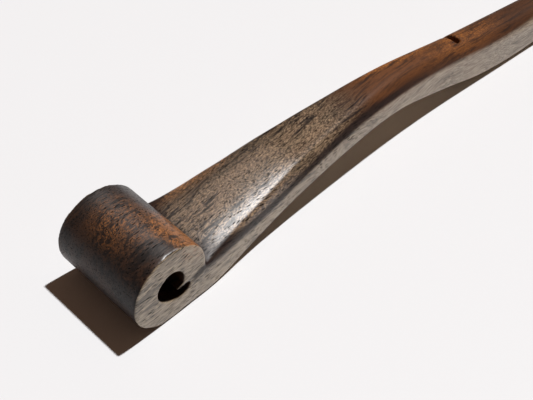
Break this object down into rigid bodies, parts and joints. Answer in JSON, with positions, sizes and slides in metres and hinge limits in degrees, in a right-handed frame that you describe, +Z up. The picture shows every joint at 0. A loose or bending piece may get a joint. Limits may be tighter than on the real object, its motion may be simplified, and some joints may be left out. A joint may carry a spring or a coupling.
{
  "type": "dip pen holder",
  "caption": "Carved dark wood dip pen holder with a scrolled end, brass ferrule and spring socket for a pull-out steel nib.",
  "frame": {"origin": "middle of the flat under the scroll, straight below the scroll's axis", "axes": "+X along the holder towards the nib, +Y along the scroll's axis, +Z up from the surface it lies on"},
  "size_m": [0.1815, 0.0212, 0.0169],
  "materials": {
    "wood": "oiled satin, dark brown with orange and black streaks",
    "brass": "polished, turned",
    "sleeve_steel": "drawn tube",
    "spring_steel": "tempered sheet",
    "nib_steel": "stamped sheet, satin"
  },
  "bodies": {
    "holder": {"holder": "wood", "ferrule": "brass", "nib_sleeve": "sleeve_steel", "nib_clip": "spring_steel"},
    "nib": {"nib": "nib_steel"}
  },
  "joints": [
    {"name": "nib_pull", "type": "slide", "parent": "holder", "child": "nib", "axis": [1, 0, 0], "range_m": [0, 0.0095]}
  ]
}
